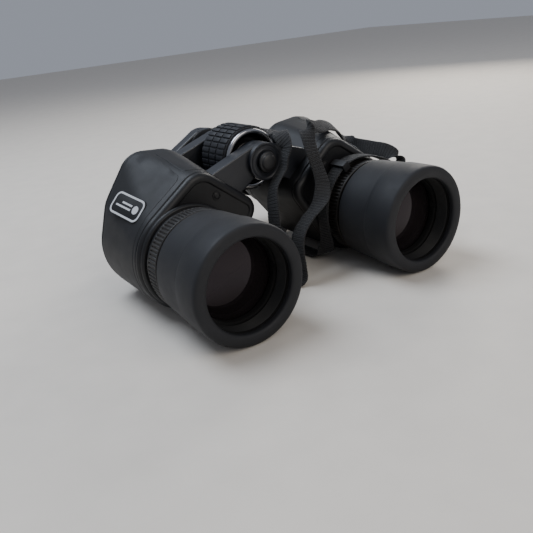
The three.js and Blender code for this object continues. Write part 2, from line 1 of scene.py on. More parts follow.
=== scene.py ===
# Centre-focus Porro prism binoculars, lying belly down on a pale floor, with their neck strap.
# Lengths are in millimetres in the shape code: x across, s backwards from the objective rims
# and z up. mesh_of() turns them into the frame's metres, whose zero is at s = MIDDLE_S.
import math

import bmesh
import bpy
import numpy as np
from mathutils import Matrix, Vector


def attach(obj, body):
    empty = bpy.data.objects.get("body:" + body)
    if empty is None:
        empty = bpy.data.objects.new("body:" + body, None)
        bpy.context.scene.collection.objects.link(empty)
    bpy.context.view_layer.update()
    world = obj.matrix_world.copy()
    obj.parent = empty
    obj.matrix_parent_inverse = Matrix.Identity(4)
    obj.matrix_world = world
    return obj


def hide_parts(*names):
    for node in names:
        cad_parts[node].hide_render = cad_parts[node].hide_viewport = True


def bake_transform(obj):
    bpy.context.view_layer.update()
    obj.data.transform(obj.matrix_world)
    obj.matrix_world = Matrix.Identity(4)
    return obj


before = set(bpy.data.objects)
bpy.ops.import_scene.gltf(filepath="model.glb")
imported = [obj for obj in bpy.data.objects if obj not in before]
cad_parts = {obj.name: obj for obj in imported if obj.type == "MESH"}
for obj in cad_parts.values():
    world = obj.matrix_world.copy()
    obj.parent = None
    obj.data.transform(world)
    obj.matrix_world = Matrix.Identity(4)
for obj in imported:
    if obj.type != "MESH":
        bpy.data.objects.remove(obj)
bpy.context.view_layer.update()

MM = 0.001
MIDDLE_S = 89.0
CAMERA_SPOT = (-0.1997, -0.3192, 0.1525)
CAMERA_AIM = (0.0044, 0.0, -0.0033)
CAMERA_ROLL = -6.6
OBJECTIVE = (61.9, 32.0)
EYEPIECE = (35.0, 48.5)
HINGE = (0.0, 72.0)
SIDES = {"right": -1, "left": 1}
RIGHT = SIDES["right"]
SEAM = [(61.9, 32, 32), (49, 62.8, 14), (24, 49, 9)]
REAR = [(61.9, 32, 32), (63.5, 48, 25.5), (59, 69, 16.5), (47, 69, 15.3), (33, 49, 19)]
SEAM_S, REAR_S = 66.0, 112.0


# ---------------------------------------------------------------- camera


def add_camera():
    data = bpy.data.cameras.new("camera")
    data.sensor_width = 36.0
    data.lens = 41.0
    data.clip_start = 0.01
    camera = bpy.data.objects.new("camera", data)
    bpy.context.collection.objects.link(camera)
    camera.location = CAMERA_SPOT
    camera.rotation_euler = (Vector(CAMERA_AIM) - camera.location).to_track_quat("-Z", "Y").to_euler()
    camera.rotation_euler.rotate_axis("Z", math.radians(CAMERA_ROLL))
    bpy.context.scene.camera = camera


# ---------------------------------------------------------------- materials


def new_material(name):
    material = bpy.data.materials.new(name)
    material.use_nodes = True
    nodes = material.node_tree.nodes
    return material, nodes, material.node_tree.links, nodes["Principled BSDF"]


def noise(nodes, links, scale, detail=4.0, stretch=None):
    coords = nodes.new("ShaderNodeTexCoord")
    texture = nodes.new("ShaderNodeTexNoise")
    texture.inputs["Scale"].default_value = scale
    texture.inputs["Detail"].default_value = detail
    if stretch:
        mapping = nodes.new("ShaderNodeMapping")
        mapping.inputs["Scale"].default_value = stretch
        links.new(coords.outputs["Object"], mapping.inputs["Vector"])
        links.new(mapping.outputs["Vector"], texture.inputs["Vector"])
    else:
        links.new(coords.outputs["Object"], texture.inputs["Vector"])
    return texture.outputs["Fac"]


def spread(nodes, links, value, low, high):
    """Turns the middle of a noise, 0.3 to 0.7, into low to high."""
    remap = nodes.new("ShaderNodeMapRange")
    remap.inputs["From Min"].default_value = 0.3
    remap.inputs["From Max"].default_value = 0.7
    remap.inputs["To Min"].default_value = low
    remap.inputs["To Max"].default_value = high
    links.new(value, remap.inputs["Value"])
    return remap.outputs["Result"]


def blended(nodes, links, factor, first, second):
    mix = nodes.new("ShaderNodeMix")
    mix.data_type = "RGBA"
    links.new(factor, mix.inputs["Factor"])
    for socket, colour in (("A", first), ("B", second)):
        [s for s in mix.inputs if s.name == socket and s.type == "RGBA"][0].default_value = (*colour, 1)
    return [s for s in mix.outputs if s.type == "RGBA"][0]


def surface(name, colour, rough, grain=2500, depth=0.00004, strength=0.3, vary=0.12, metal=0.0,
            coat=0.0, level=0.5, stretch=None):
    material, nodes, links, shader = new_material(name)
    shader.inputs["Metallic"].default_value = metal
    shader.inputs["Specular IOR Level"].default_value = level
    shader.inputs["Coat Weight"].default_value = coat
    shader.inputs["Coat Roughness"].default_value = 0.12
    cloudy = noise(nodes, links, 45, 5.0)
    darker = tuple(c * (1 - vary) for c in colour)
    lighter = tuple(c * (1 + vary) for c in colour)
    tone = blended(nodes, links, spread(nodes, links, cloudy, 0, 1), darker, lighter)
    links.new(tone, shader.inputs["Base Color"])
    smears = noise(nodes, links, 130, 3.0)
    links.new(spread(nodes, links, smears, rough - 0.03, rough + 0.04), shader.inputs["Roughness"])
    bump = nodes.new("ShaderNodeBump")
    bump.inputs["Strength"].default_value = strength
    bump.inputs["Distance"].default_value = depth
    links.new(noise(nodes, links, grain, 2.0, stretch), bump.inputs["Height"])
    links.new(bump.outputs["Normal"], shader.inputs["Normal"])
    return material


def glass(name, colour, tint):
    material, nodes, links, shader = new_material(name)
    shader.inputs["Roughness"].default_value = 0.03
    shader.inputs["IOR"].default_value = 1.52
    shader.inputs["Specular IOR Level"].default_value = 0.32
    shader.inputs["Specular Tint"].default_value = (*tint, 1)
    shader.inputs["Coat Weight"].default_value = 0.04
    shader.inputs["Coat Roughness"].default_value = 0.02
    cloudy = noise(nodes, links, 18, 3.0)
    tone = blended(nodes, links, spread(nodes, links, cloudy, 0, 1), colour, tuple(c * 1.5 for c in colour))
    links.new(tone, shader.inputs["Base Color"])
    return material


def webbing_material():
    material, nodes, links, shader = new_material("webbing")
    shader.inputs["Sheen Weight"].default_value = 0.08
    shader.inputs["Sheen Roughness"].default_value = 0.5
    shader.inputs["Specular IOR Level"].default_value = 0.25
    uv = nodes.new("ShaderNodeUVMap")
    uv.uv_map = "UVMap"
    yarns = nodes.new("ShaderNodeTexWave")
    yarns.wave_type = "BANDS"
    yarns.bands_direction = "X"
    yarns.inputs["Scale"].default_value = 4.5
    yarns.inputs["Distortion"].default_value = 1.5
    yarns.inputs["Detail"].default_value = 2.0
    links.new(uv.outputs["UV"], yarns.inputs["Vector"])
    picks = nodes.new("ShaderNodeTexWave")
    picks.wave_type = "BANDS"
    picks.bands_direction = "Y"
    picks.inputs["Scale"].default_value = 0.32
    picks.inputs["Distortion"].default_value = 0.8
    links.new(uv.outputs["UV"], picks.inputs["Vector"])
    both = nodes.new("ShaderNodeMath")
    both.operation = "MULTIPLY"
    links.new(yarns.outputs["Fac"], both.inputs[0])
    links.new(picks.outputs["Fac"], both.inputs[1])
    tone = blended(nodes, links, both.outputs["Value"], (0.0112, 0.0112, 0.0120), (0.0480, 0.0474, 0.0480))
    links.new(tone, shader.inputs["Base Color"])
    links.new(spread(nodes, links, noise(nodes, links, 400), 0.6, 0.8), shader.inputs["Roughness"])
    bump = nodes.new("ShaderNodeBump")
    bump.inputs["Strength"].default_value = 0.6
    bump.inputs["Distance"].default_value = 0.0002
    links.new(both.outputs["Value"], bump.inputs["Height"])
    links.new(bump.outputs["Normal"], shader.inputs["Normal"])
    return material


M = {
    "housing": surface("housing", (0.0078, 0.0082, 0.0095), 0.52, grain=1500, depth=0.00003, level=0.34),
    "covering": surface("covering", (0.0078, 0.0081, 0.0092), 0.57, grain=2400, depth=0.00005, strength=0.5,
                        level=0.36),
    "cover": surface("cover", (0.0056, 0.0056, 0.0064), 0.46, grain=1800, depth=0.00002, level=0.38),
    "gloss": surface("gloss_black", (0.0040, 0.0040, 0.0045), 0.22, grain=900, depth=0.00001, coat=0.15),
    "arm": surface("hinge_arm", (0.0105, 0.0120, 0.0160), 0.38, grain=1600, depth=0.00003, level=0.6),
    "sleeve": surface("sleeve_rubber", (0.0122, 0.0128, 0.0150), 0.62, grain=2600, depth=0.00006,
                      strength=0.5, level=0.35),
    "ribbed": surface("ribbed_ring", (0.0140, 0.0120, 0.0105), 0.50, grain=2200, depth=0.00004, level=0.4),
    "eyecup": surface("eyecup_rubber", (0.0080, 0.0080, 0.0085), 0.66, grain=2600, depth=0.00006,
                      strength=0.5, level=0.35),
    "tread": surface("tread_rubber", (0.0105, 0.0110, 0.0140), 0.52, grain=2600, depth=0.00005,
                     strength=0.4, level=0.4),
    "inner": surface("inner_black", (0.0045, 0.0045, 0.0045), 0.60, grain=1200, depth=0.00003, level=0.3),
    "cap": surface("cap_plastic", (0.0150, 0.0150, 0.0160), 0.48, grain=2000, depth=0.00004, level=0.4),
    "chrome": surface("chrome", (0.34, 0.34, 0.35), 0.20, grain=300, depth=0.000005, strength=0.1,
                      vary=0.06, metal=1.0),
    "steel": surface("steel", (0.30, 0.30, 0.31), 0.34, grain=900, depth=0.00001, vary=0.1, metal=1.0,
                     stretch=(1, 30, 1)),
    "brass": surface("brass", (0.55, 0.38, 0.15), 0.32, grain=900, depth=0.00001, vary=0.1, metal=1.0),
    "anodised": surface("anodised", (0.012, 0.012, 0.014), 0.3, grain=1500, depth=0.00001, metal=0.6),
    "badge_black": surface("badge_black", (0.0055, 0.0055, 0.0060), 0.55, grain=2000, depth=0.00001,
                           level=0.25),
    "print": surface("badge_print", (0.55, 0.56, 0.58), 0.5, grain=3000, depth=0.00001, vary=0.05,
                     level=0.3),
    "objective": glass("objective_glass", (0.0075, 0.0060, 0.0065), (0.82, 0.70, 0.80)),
    "eye_glass": glass("eye_glass", (0.006, 0.010, 0.008), (0.60, 0.85, 0.70)),
    "webbing": webbing_material(),
}


# ---------------------------------------------------------------- shape helpers
# A shape is (points, faces), with points as rows of x, s, z in millimetres.


def merge(*shapes):
    points, faces, start = [], [], 0
    for some, theirs in shapes:
        points.append(np.asarray(some, float).reshape(-1, 3))
        faces += [tuple(i + start for i in face) for face in theirs]
        start += len(points[-1])
    return np.vstack(points), faces


def mirror(shape, side):
    points = np.array(shape[0], float)
    points[:, 0] *= side
    return points, shape[1]


def softened(profile, radius):
    """A closed profile with its corners rounded; a third number on a point is its own radius."""
    out = []
    count = len(profile)
    for i, point in enumerate(profile):
        here = np.array(point[:2], float)
        size = point[2] if len(point) > 2 else radius
        back = np.array(profile[i - 1][:2]) - here
        ahead = np.array(profile[(i + 1) % count][:2]) - here
        reach_back, reach_ahead = np.linalg.norm(back), np.linalg.norm(ahead)
        cut = min(size, 0.45 * reach_back, 0.45 * reach_ahead)
        if cut < 0.01 or point[0] < 1e-6:
            out.append(tuple(here))
            continue
        start, stop = here + back / reach_back * cut, here + ahead / reach_ahead * cut
        for t in np.linspace(0, 1, 4):
            out.append(tuple((1 - t) ** 2 * start + 2 * t * (1 - t) * here + t * t * stop))
    return out


def revolve(profile, centre=(0, 0), segments=96, shift=None):
    """A turned shape about the Y axis; shift(k, r, s) changes the radius at the k-th segment."""
    closed = profile[0][0] > 1e-6
    points, rings = [], []
    for r, s in profile:
        if r < 1e-6:
            rings.append([len(points)] * segments)
            points.append((centre[0], s, centre[1]))
            continue
        rings.append(list(range(len(points), len(points) + segments)))
        for k in range(segments):
            angle = 2 * math.pi * k / segments
            reach = r + (shift(k, r, s) if shift else 0)
            points.append((centre[0] + reach * math.cos(angle), s, centre[1] + reach * math.sin(angle)))
    faces = []
    pairs = list(zip(rings, rings[1:])) + ([(rings[-1], rings[0])] if closed else [])
    for near, far in pairs:
        for k in range(segments):
            n = (k + 1) % segments
            corners = [near[k], near[n], far[n], far[k]]
            face = tuple(dict.fromkeys(corners))
            if len(face) > 2:
                faces.append(face)
    return np.array(points), faces


def turned(profile, centre, radius, segments):
    return revolve(softened(profile, radius), centre, segments)


def outline(circles, shrink=0.0, count=240):
    """The outer hull of some circles, as points at even angles from the bottom round by +X."""
    angles = -math.pi / 2 + (np.arange(count) + 0.5) / count * 2 * math.pi
    cos, sin = np.cos(angles), np.sin(angles)
    reach = np.array([x * cos + z * sin + r for x, z, r in circles])
    far = np.array(circles, float)[reach.argmax(0)]
    return np.column_stack([far[:, 0] + (far[:, 2] - shrink) * cos, far[:, 1] + (far[:, 2] - shrink) * sin])


def section(s, shrink=0.0, count=240):
    share = min(1.0, max(0.0, (s - SEAM_S) / (REAR_S - SEAM_S)))
    return outline(SEAM, shrink, count) * (1 - share) + outline(REAR, shrink, count) * share


def loft(levels):
    """A closed shape through (s, outline) levels with the same number of points."""
    count = len(levels[0][1])
    points = np.vstack([np.column_stack([o[:, 0], np.full(count, s), o[:, 1]]) for s, o in levels])
    faces = []
    for level in range(len(levels) - 1):
        near, far = level * count, (level + 1) * count
        for i in range(count):
            n = (i + 1) % count
            faces.append((near + i, far + i, far + n, near + n))
    last = (len(levels) - 1) * count
    faces.append(tuple(range(count)))
    faces.append(tuple(last + i for i in reversed(range(count))))
    return points, faces


def rounded_levels(front, rear, radius):
    """(station, shrink) pairs of a slab with rounded edges."""
    bends = [(radius * (1 - math.sin(a)), radius * (1 - math.cos(a)))
             for a in np.linspace(0, math.pi / 2, 6)]
    near = [(front + back, shrink) for shrink, back in bends]
    return near + [(rear - back, shrink) for shrink, back in reversed(bends)]


def slab(circles, front, rear, radius=0.8, count=120):
    return loft([(s, outline(circles, shrink, count)) for s, shrink in rounded_levels(front, rear, radius)])


def box_shape(size, centre, bevel=0.3):
    """A box with its edges cut back, as size and centre in x, s, z."""
    half = np.array(size, float) / 2
    mesh = bmesh.new()
    bmesh.ops.create_cube(mesh, size=2)
    for vertex in mesh.verts:
        vertex.co = Vector(np.array(vertex.co) * half)
    bmesh.ops.bevel(mesh, geom=list(mesh.edges), offset=bevel, segments=2, affect="EDGES", profile=0.6)
    mesh.verts.index_update()
    points = np.array([vertex.co for vertex in mesh.verts]) + np.array(centre, float)
    faces = [tuple(vertex.index for vertex in face.verts) for face in mesh.faces]
    mesh.free()
    return points, faces


def mesh_of(name, shape, uvs=None):
    points, faces = shape
    mesh = bpy.data.meshes.new(name)
    placed = np.column_stack([points[:, 0], points[:, 1] - MIDDLE_S, points[:, 2]]) * MM
    mesh.from_pydata(placed.tolist(), [], faces)
    if uvs:
        layer = mesh.uv_layers.new(name="UVMap")
        layer.data.foreach_set("uv", np.array(uvs, float).ravel())
    work = bmesh.new()
    work.from_mesh(mesh)
    bmesh.ops.recalc_face_normals(work, faces=work.faces)
    work.to_mesh(mesh)
    work.free()
    return mesh


def carve(shape, cutters):
    """The shape with the cutters' space taken out of it."""
    base = bpy.data.objects.new("carved", mesh_of("carved", shape))
    bpy.context.collection.objects.link(base)
    tools = []
    for cutter in cutters:
        tool = bpy.data.objects.new("cutter", mesh_of("cutter", cutter))
        bpy.context.collection.objects.link(tool)
        tools.append(tool)
        cut = base.modifiers.new("cut", "BOOLEAN")
        cut.object, cut.operation, cut.solver = tool, "DIFFERENCE", "EXACT"
    bpy.context.view_layer.update()
    done = base.evaluated_get(bpy.context.evaluated_depsgraph_get()).to_mesh()
    points = np.array([vertex.co for vertex in done.vertices]) / MM + np.array([0, MIDDLE_S, 0])
    faces = [tuple(polygon.vertices) for polygon in done.polygons]
    for thing in [base, *tools]:
        bpy.data.objects.remove(thing, do_unlink=True)
    return points, faces


def piece(name, shape, material, body, *nodes, slot=None, angle=32):
    mesh = mesh_of(name, shape)
    mesh.shade_smooth()
    mesh.set_sharp_from_angle(angle=math.radians(angle))
    mesh.materials.append(M[material])
    obj = bpy.data.objects.new(name, mesh)
    bpy.context.collection.objects.link(obj)
    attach(obj, body)
    if nodes:
        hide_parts(*nodes)


# ---------------------------------------------------------------- neck strap

# The strap on each half, from where the two meet to its lug: x, s, z, then the way its width points
LEFT_RUN = [
    (14.2, 160, 78, 0.87, 0, -0.47), (14.5, 157.3, 78.4, 0.87, 0, -0.47),
    (18, 151.5, 81, 0.87, 0.2, -0.45), (22.5, 145, 82, 0.88, 0.2, -0.45), (25, 136, 82, 0.9, 0.1, -0.4),
    (26.5, 124, 83, 0.95, 0, -0.3), (26.5, 106, 82.5, 1, 0, -0.1), (24, 90, 82.5, 1, -0.2, 0),
    (18.4, 78, 85.4, 0.9, -0.5, 0.1), (13, 69.5, 85.3, 0.5, -0.85, 0.2), (11.4, 62.7, 79.8, 0, -1, 0),
    (9.6, 62.9, 73.6, -0.2, -0.97, 0), (7.7, 63, 67.7, -0.15, -0.98, 0), (2.7, 62.3, 63, -0.2, -0.98, 0),
    (-3, 60.5, 57, -0.1, -0.98, 0.1), (-7, 56.5, 47, 0.1, -0.98, 0), (-8.5, 54, 34, 0.2, -0.98, 0),
    (-8.5, 49.5, 18, 0.2, -0.98, 0), (-7.8, 45.5, 6, 0.2, -0.98, 0), (-4.8, 43.2, 2, 0.2, -0.98, 0),
    (-1.9, 42, 4.5, 0.2, -0.98, 0), (-1.6, 42, 12, 0.2, -0.98, 0), (-1.8, 42.5, 22, 0.2, -0.98, 0),
    (0, 43, 31, 0.2, -0.95, 0.1), (7.5, 43.7, 38.8, 0.3, -0.9, 0.2), (15.5, 44.5, 43.5, 0.5, -0.8, 0.2),
    (22.5, 47, 48, 0.8, -0.5, 0.1), (27, 51, 55, 0.97, -0.1, 0), (27.8, 55, 63.5, 0.98, 0.1, 0),
    (27, 58.5, 73.5, 0.98, 0.1, 0), (28, 62.5, 81, 0.95, 0.1, 0.1), (30.6, 66.5, 85.2, 0.85, 0.1, 0.4),
    (34.3, 69, 86.4, 0.5, 0.45, 0.7), (39, 71, 85.8, 0.15, 0.65, 0.7), (46, 74, 84, 0, 0.72, 0.68),
    (54.5, 79, 83, -0.1, 0.72, 0.62), (64.8, 84.5, 80, -0.15, 0.75, 0.6),
    (72.8, 90, 76.5, -0.15, 0.75, 0.6),
    (80.4, 96, 72, -0.1, 0.75, 0.6), (86.6, 100.5, 67.4, 0, 0.75, 0.6), (91.2, 101.3, 64.4, 0.05, 0.75,
        0.6),
    (93.6, 97, 62, 0, 0.6, 0.75), (93.6, 91, 60.8, 0.05, 0.55, 0.75), (94, 84, 60.4, 0.2, 0.5, 0.8),
    (95.2, 76, 59.8, 0.3, 0.4, 0.85), (97, 68, 59, 0.35, 0.3, 0.87), (99.4, 61.5, 56.2, 0.25, 0.7, 0.65),
    (100, 57.5, 52, 0, 1, 0.1), (97.2, 56, 49.8, 0, 1, 0), (91.5, 55.8, 52, 0, 1, 0),
    (84, 55.8, 57, 0, 1, 0), (75, 55.8, 61, 0, 1, 0), (65, 55.8, 63.6, 0, 1, 0),
    (55, 55.7, 64, 0, 1, 0), (46, 55.6, 61.2, 0, 1, 0), (38, 55.6, 54.5, 0, 1, 0),
    (31.8, 55.6, 45, 0, 1, 0), (29.5, 55.6, 34, 0, 1, 0), (30, 55.5, 24, 0, 1, 0),
    (32, 57, 13, -0.3, 0.9, 0), (33.5, 63, 4.5, -0.8, 0.4, -0.2), (34, 74, 1.6, -1, 0, 0),
    (34, 92, 1.5, -1, 0, 0), (35, 110, 1.5, -1, 0, 0), (42, 125, 1.8, -0.9, 0.4, 0),
    (54, 132, 4, -0.7, 0.7, 0), (66, 129.5, 9, -0.8, 0.5, 0.3), (73, 125.2, 15, -1, 0.2, 0),
    (74, 123.5, 21, -1, 0, 0), (74, 123.5, 28.5, -1, 0, 0),
]
RIGHT_RUN = [
    (14.2, 160.3, 78, 0.87, 0, -0.47), (13.9, 163, 77.6, 0.87, 0, -0.47),
    (10.5, 167, 74, 0.75, 0.3, -0.6), (3.5, 168.8, 67.5, 0.7, 0, -0.7), (-3, 167.3, 59, 0.85, 0, -0.5),
    (-7, 163, 47, 0.95, 0, -0.3), (-8.7, 157, 33, 1, 0, 0), (-9.5, 153.5, 22, 1, 0.1, 0),
    (-12, 150, 13, 1, 0.3, 0), (-20, 143.5, 4.5, 0.7, 0.7, 0),
    (-31, 139.5, 1.7, 0.3, 0.95, 0), (-45, 138, 1.6, 0, 1, 0), (-58, 135.5, 3, -0.2, 1, 0),
    (-68, 130, 8, -0.7, 0.7, 0), (-73.2, 125.2, 14.5, -1, 0.2, 0), (-74, 123.5, 21, -1, 0, 0),
    (-74, 123.5, 28.5, -1, 0, 0),
]
STRAP_WIDTH = 10.0
RIB_PITCH = 2.0
STRAP_STEP = 0.4
SPAN_STEPS = 24


def sampled(route):
    """Centripetal Catmull-Rom through a route: positions and width directions."""
    points = np.array([r[:3] for r in route], float)
    ways = np.array([r[3:] for r in route], float)
    padded = np.vstack([2 * points[0] - points[1], points, 2 * points[-1] - points[-2]])
    line, across = [], []
    for i in range(len(points) - 1):
        p0, p1, p2, p3 = padded[i:i + 4]
        d0, d1, d2 = (max(np.linalg.norm(b - a), 1e-6) ** 0.5 for a, b in ((p0, p1), (p1, p2), (p2, p3)))
        m1 = ((p1 - p0) / d0 - (p2 - p0) / (d0 + d1) + (p2 - p1) / d1) * d1
        m2 = ((p2 - p1) / d1 - (p3 - p1) / (d1 + d2) + (p3 - p2) / d2) * d1
        for t in np.arange(SPAN_STEPS) / SPAN_STEPS:
            line.append(p1 + m1 * t + (-3 * p1 + 3 * p2 - 2 * m1 - m2) * t * t
                        + (2 * p1 - 2 * p2 + m1 + m2) * t ** 3)
            across.append(ways[i] * (1 - t) + ways[i + 1] * t)
    line.append(points[-1])
    across.append(ways[-1])
    return np.array(line), np.array(across)


def strap_line(step):
    """The whole strap from the left lug round behind the hinge to the right lug, at even steps."""
    left, left_ways = sampled(LEFT_RUN)
    right, right_ways = sampled(RIGHT_RUN)
    line = np.vstack([left[::-1], right])
    ways = np.vstack([left_ways[::-1], right_ways])
    run = np.concatenate([[0], np.cumsum(np.linalg.norm(np.diff(line, axis=0), axis=1))])
    at = np.linspace(0, run[-1], int(run[-1] / step) + 1)
    even = np.column_stack([np.interp(at, run, line[:, k]) for k in range(3)])
    turned_ways = np.column_stack([np.interp(at, run, ways[:, k]) for k in range(3)])
    return even, turned_ways, at


def add_strap():
    line, ways, at = strap_line(STRAP_STEP)
    tangents = np.gradient(line, axis=0)
    tangents /= np.linalg.norm(tangents, axis=1)[:, None]
    across = ways - (ways * tangents).sum(1)[:, None] * tangents
    across /= np.linalg.norm(across, axis=1)[:, None]
    normals = np.cross(tangents, across)
    half = STRAP_WIDTH / 2
    lanes = [-half, -half * 0.97, -half * 0.86, -half * 0.45, 0, half * 0.45, half * 0.86, half * 0.97,
             half]
    heights = [0.0, 0.42, 0.66, 0.72, 0.74, 0.72, 0.66, 0.42, 0.0]
    ring = [(lane, height) for lane, height in zip(lanes, heights)]
    ring += [(lane, -height) for lane, height in list(zip(lanes, heights))[-2:0:-1]]
    rib = 0.5 + 0.5 * np.cos(2 * np.pi * at / RIB_PITCH)
    weave = 1 - 0.38 * (1 - rib) ** 1.5
    edge = 1 - 0.012 * (1 - rib)
    rings = []
    for lane, height in ring:
        rings.append(line + across * (lane * edge)[:, None] + normals * (height * weave)[:, None])
    points = np.stack(rings, axis=1).reshape(-1, 3)
    count, steps = len(ring), len(line)
    faces, uvs = [], []
    for i in range(steps - 1):
        for k in range(count):
            n = (k + 1) % count
            faces.append((i * count + k, i * count + n, (i + 1) * count + n, (i + 1) * count + k))
            lane_a, lane_b = ring[k][0], ring[n][0]
            uvs += [(lane_a, at[i]), (lane_b, at[i]), (lane_b, at[i + 1]), (lane_a, at[i + 1])]
    caps = [tuple(range(count)), tuple((steps - 1) * count + k for k in reversed(range(count)))]
    for cap in caps:
        faces.append(cap)
        uvs += [(ring[k % count][0], 0.0) for k in range(count)]
    mesh = mesh_of("neck_strap", (points, faces), uvs)
    mesh.shade_smooth()
    mesh.materials.append(M["webbing"])
    strap = bpy.data.objects.new("neck_strap", mesh)
    bpy.context.collection.objects.link(strap)
    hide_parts("strap_left_run", "strap_right_run")
    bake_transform(strap)


# ---------------------------------------------------------------- housings

FRONT_LUG = {"face": 69.0, "front": 72.0, "split": 76.65, "rear": 82.8, "boss": 11.4, "arm": (38, 58.5, 12),
             "low": 3.0}
REAR_LUG = {"face": 119.0, "front": 119.0, "split": 124.55, "rear": 130.0, "boss": 13.9,
            "arm": (38, 61, 13), "low": 3.5}
GAP = 0.3
GUIDE_RADIUS = 17.0
AXLE_BORE = 4.8


def hinge_lug(side, lug, holes=()):
    """An arm to a boss on the hinge axis, with room for the other half's boss and for any holes."""
    if side == RIGHT:
        boss = (lug["face"], lug["split"] - GAP / 2)
        room = (boss[1], lug["rear"] + 2)
    else:
        boss = (lug["split"] + GAP / 2, lug["rear"])
        room = (lug["face"] - 2, boss[0])
    root = (side * 2.5, HINGE[1] + lug["low"], lug["boss"] - lug["low"] - 0.5)
    arm = slab([root, (side * lug["arm"][0], lug["arm"][1], lug["arm"][2])], lug["front"], lug["rear"], 0.9,
               160)
    clear = revolve([(0, room[0]), (lug["boss"] + 0.4, room[0]), (lug["boss"] + 0.4, room[1]),
                     (0, room[1])], HINGE, 96)
    bore = revolve([(0, 60), (lug["boss"] - 1.5, 60), (lug["boss"] - 1.5, 140), (0, 140)], HINGE, 96)
    outer = lug["boss"]
    front, rear = boss
    if side == RIGHT:
        face = [(7.0, front + 0.5), (7.0, front + 0.05), (7.6, front + 0.05), (7.8, front + 0.45),
                (outer - 1.7, front + 0.45),
                (outer - 1.3, front), (outer, front, 0.7)]
    else:
        face = [(AXLE_BORE, front), (outer, front, 0.5)]
    ring = face + [(outer, rear, 0.5), (AXLE_BORE, rear)]
    if side == RIGHT:
        ring.append((AXLE_BORE, front + 0.5))
    return merge(carve(arm, [clear, bore, *holes]), turned(ring, HINGE, 0.2, 96))


def along_outline(s, start, stop, shares):
    """Housing outline points at shares of the way between two places on it. A place is
    ("top", x) for the upper side at that x, or ("side", z) for the outer side at that z."""
    ring = section(s, 0.0, 720)
    steps = np.linalg.norm(np.diff(ring, axis=0), axis=1)
    run = np.concatenate([[0], np.cumsum(steps)])

    def where(kind, value):
        if kind == "side":
            for i in range(len(ring) - 1):
                if ring[i, 0] > 61.9 and ring[i, 1] <= value < ring[i + 1, 1]:
                    t = (value - ring[i, 1]) / (ring[i + 1, 1] - ring[i, 1])
                    return run[i] + t * steps[i]
        for i in range(len(ring) // 4, len(ring) - 1):
            if ring[i, 0] >= value > ring[i + 1, 0]:
                t = (ring[i, 0] - value) / (ring[i, 0] - ring[i + 1, 0])
                return run[i] + t * steps[i]
        raise ValueError("no such place on the outline")

    first, last = where(*start), where(*stop)
    at = first + (last - first) * np.asarray(shares)
    return np.column_stack([np.interp(at, run, ring[:, 0]), np.interp(at, run, ring[:, 1])])


def panel(start, stop, front, rear, corner, proud):
    """A let-in panel on a housing (as on the left half): it stands proud by a little, and its
    rounded border dips under the surface round it. An underside closes it."""
    edge, sunk = 0.5, 0.8
    border = [0.0, 0.02, 0.25, 0.6, 1.0]
    profile = {0.0: -sunk, 0.02: -0.15, 0.25: proud * 0.55, 0.6: proud * 0.93, 1.0: proud}
    arc = [corner * (1 - math.sin(a)) for a in np.linspace(math.pi / 2, 0, 9)]
    stations = [front + b * edge for b in border]
    stations += [front + edge + a for a in arc[1:]]
    stations += list(np.linspace(front + edge + corner, rear - edge - corner, 14))[1:-1]
    stations = sorted(set(stations + [front + rear - s for s in stations]))
    points, faces = [], []
    for s in stations:
        depth = min(s - front, rear - s)
        inside = max(0.0, depth - edge)
        pull = corner - math.sqrt(max(0.0, corner ** 2 - (corner - inside) ** 2)) if inside < corner else 0.0
        width = max(1.0, np.linalg.norm(np.diff(along_outline(s, start, stop, np.linspace(0, 1, 60)),
                                                axis=0), axis=1).sum())
        rim = [(pull + b * edge) / width for b in border]
        middle = list(np.linspace(rim[-1], 1 - rim[-1], 26))[1:-1]
        shares = rim + middle + [1 - r for r in reversed(rim)]
        columns = len(shares)
        end_lift = np.interp(depth / edge, list(profile), list(profile.values())) if depth < edge else proud
        lifts = [min(end_lift, profile[b]) for b in border]
        lifts += [end_lift] * len(middle) + [min(end_lift, profile[b]) for b in reversed(border)]
        base = along_outline(s, start, stop, shares)
        tangent = np.gradient(base, axis=0)
        tangent /= np.linalg.norm(tangent, axis=1)[:, None] + 1e-9
        normal = np.column_stack([tangent[:, 1], -tangent[:, 0]])
        if normal[len(normal) // 2] @ (base[len(base) // 2] - np.array([55.0, 40.0])) < 0:
            normal = -normal
        skin = base + normal * np.array(lifts)[:, None]
        points += [(x, s, z) for x, z in skin]
    rows = len(stations)
    for i in range(rows - 1):
        for k in range(columns - 1):
            a, b = i * columns + k, (i + 1) * columns + k
            faces.append((a, a + 1, b + 1, b))
    points = np.array(points)
    centre = np.array([52.0, (front + rear) / 2, 38.0])
    under = points + (centre - points) * 0.03
    start_under = len(points)
    faces += [tuple(start_under + i for i in reversed(face)) for face in list(faces)]
    rim_ring = [i for i in range(columns)] + [r * columns + columns - 1 for r in range(1, rows)]
    rim_ring += [(rows - 1) * columns + k for k in range(columns - 2, -1, -1)]
    rim_ring += [r * columns for r in range(rows - 2, 0, -1)]
    for i, here in enumerate(rim_ring):
        ahead = rim_ring[(i + 1) % len(rim_ring)]
        faces.append((here, here + start_under, ahead + start_under, ahead))
    return np.vstack([points, under]), faces


